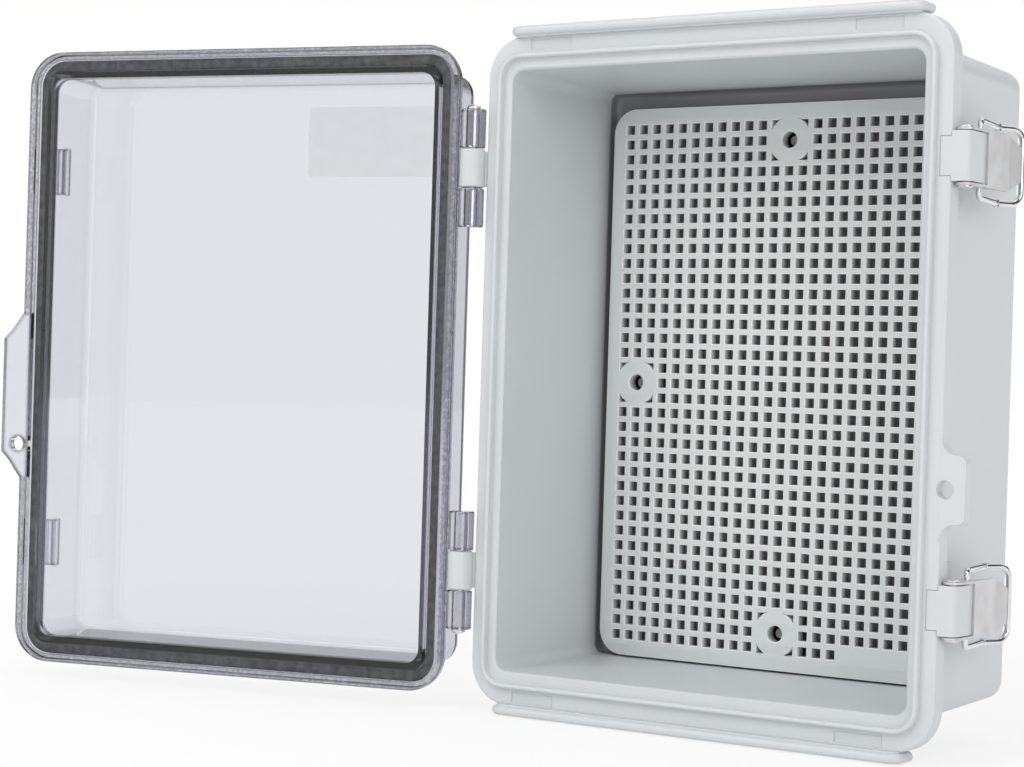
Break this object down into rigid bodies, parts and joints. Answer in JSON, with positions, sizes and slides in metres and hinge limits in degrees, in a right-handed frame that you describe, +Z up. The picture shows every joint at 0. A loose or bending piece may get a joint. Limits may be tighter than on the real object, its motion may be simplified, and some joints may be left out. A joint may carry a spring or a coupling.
{
  "type": "hinged wall enclosure",
  "caption": "Moulded wall box with a hinged clear lid, sealing gasket, perforated inner plate and two draw latches with wire bails.",
  "frame": {"origin": "centre of the rear mounting face, in the middle of the four rear inserts", "axes": "+Z up, -Y towards the front (the mouth), +X to the right towards the latches; hinges at -X"},
  "size_m": [0.3418, 0.114, 0.22],
  "materials": {
    "moulding": "satin",
    "clear_lid": "clear and polished",
    "gasket": "matt foam rubber",
    "plate": "satin",
    "brass": "knurled and turned",
    "pin_steel": "polished",
    "lever_steel": "brushed stainless",
    "wire_steel": "bright drawn wire"
  },
  "bodies": {
    "enclosure": {"enclosure_body": "moulding", "upper_hinge_pin": "pin_steel", "lower_hinge_pin": "pin_steel", "mounting_plate": "plate", "plate_insert_top": "brass", "plate_insert_left": "brass", "plate_insert_right": "brass", "plate_insert_bottom": "brass", "rear_insert_top_left": "brass", "rear_insert_top_right": "brass", "rear_insert_bottom_left": "brass", "rear_insert_bottom_right": "brass", "upper_latch_block": "moulding", "upper_lever_pin": "pin_steel", "lower_latch_block": "moulding", "lower_lever_pin": "pin_steel"},
    "lid": {"clear_lid": "clear_lid", "lid_gasket": "gasket"},
    "upper_lever": {"upper_latch_lever": "lever_steel"},
    "upper_bail": {"upper_wire_bail": "wire_steel"},
    "lower_lever": {"lower_latch_lever": "lever_steel"},
    "lower_bail": {"lower_wire_bail": "wire_steel"}
  },
  "joints": [
    {"name": "lid_hinge", "type": "hinge", "parent": "enclosure", "child": "lid", "pos_m": [-0.085, -0.0725, 0], "axis": [0, 0, -1], "range_deg": [-166.5, 8]},
    {"name": "upper_lever_pivot", "type": "hinge", "parent": "enclosure", "child": "upper_lever", "pos_m": [0.0835, -0.0675, 0.065], "axis": [0, 0, -1], "range_deg": [0, 110]},
    {"name": "upper_bail_pivot", "type": "hinge", "parent": "upper_lever", "child": "upper_bail", "pos_m": [0.084, -0.0587, 0.065], "axis": [0, 0, 1], "range_deg": [-191.5, 0]},
    {"name": "lower_lever_pivot", "type": "hinge", "parent": "enclosure", "child": "lower_lever", "pos_m": [0.0835, -0.0675, -0.065], "axis": [0, 0, -1], "range_deg": [0, 110]},
    {"name": "lower_bail_pivot", "type": "hinge", "parent": "lower_lever", "child": "lower_bail", "pos_m": [0.084, -0.0587, -0.065], "axis": [0, 0, 1], "range_deg": [-191.5, 0]}
  ]
}
